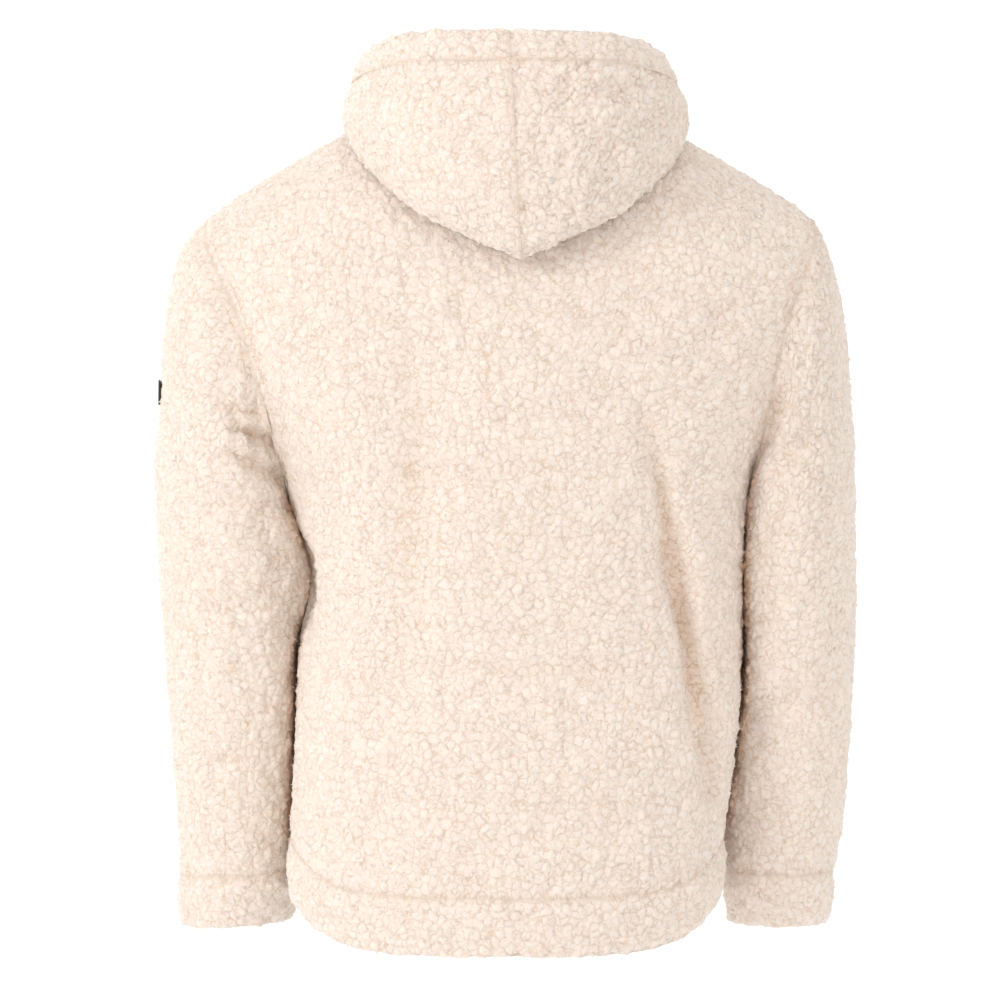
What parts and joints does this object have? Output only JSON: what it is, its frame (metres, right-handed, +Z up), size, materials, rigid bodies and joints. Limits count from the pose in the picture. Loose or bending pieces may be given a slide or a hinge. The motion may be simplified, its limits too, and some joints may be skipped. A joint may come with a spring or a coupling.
{
  "type": "zip hoodie",
  "caption": "Pile fleece hooded top with a full front zip, filled out as worn: open body, sleeves, cuffs, hem band and laid-back hood.",
  "frame": {"origin": "middle of the neck hole, level with the neck ends of the shoulder seams", "axes": "+Z up along the wearer's spine, -Y towards the wearer's front, +X towards the wearer's left"},
  "size_m": [0.6069, 0.3019, 0.7646],
  "materials": {
    "fleece": "thick curly pile, cream",
    "tape": "woven cotton tape, cream",
    "teeth": "moulded, cream",
    "metal": "satin plated",
    "patch": "woven, dark, blank"
  },
  "bodies": {
    "garment": {"back": "fleece", "front_left": "fleece", "front_right": "fleece", "sleeve_left": "fleece", "sleeve_right": "fleece", "cuff_left": "fleece", "cuff_right": "fleece", "hem_band": "fleece", "hood_left": "fleece", "hood_right": "fleece", "hood_band_left": "fleece", "hood_band_right": "fleece", "zip_tape_left": "tape", "zip_tape_right": "tape", "zip_chain": "teeth", "zip_box": "teeth", "zip_slider": "metal", "sleeve_patch": "patch"},
    "pull_tab": {"zip_pull": "metal"}
  },
  "joints": [
    {"name": "pull_swing", "type": "hinge", "parent": "garment", "child": "pull_tab", "pos_m": [0, -0.08131, -0.10218], "axis": [-1, 0, 0], "range_deg": [0, 150]}
  ]
}
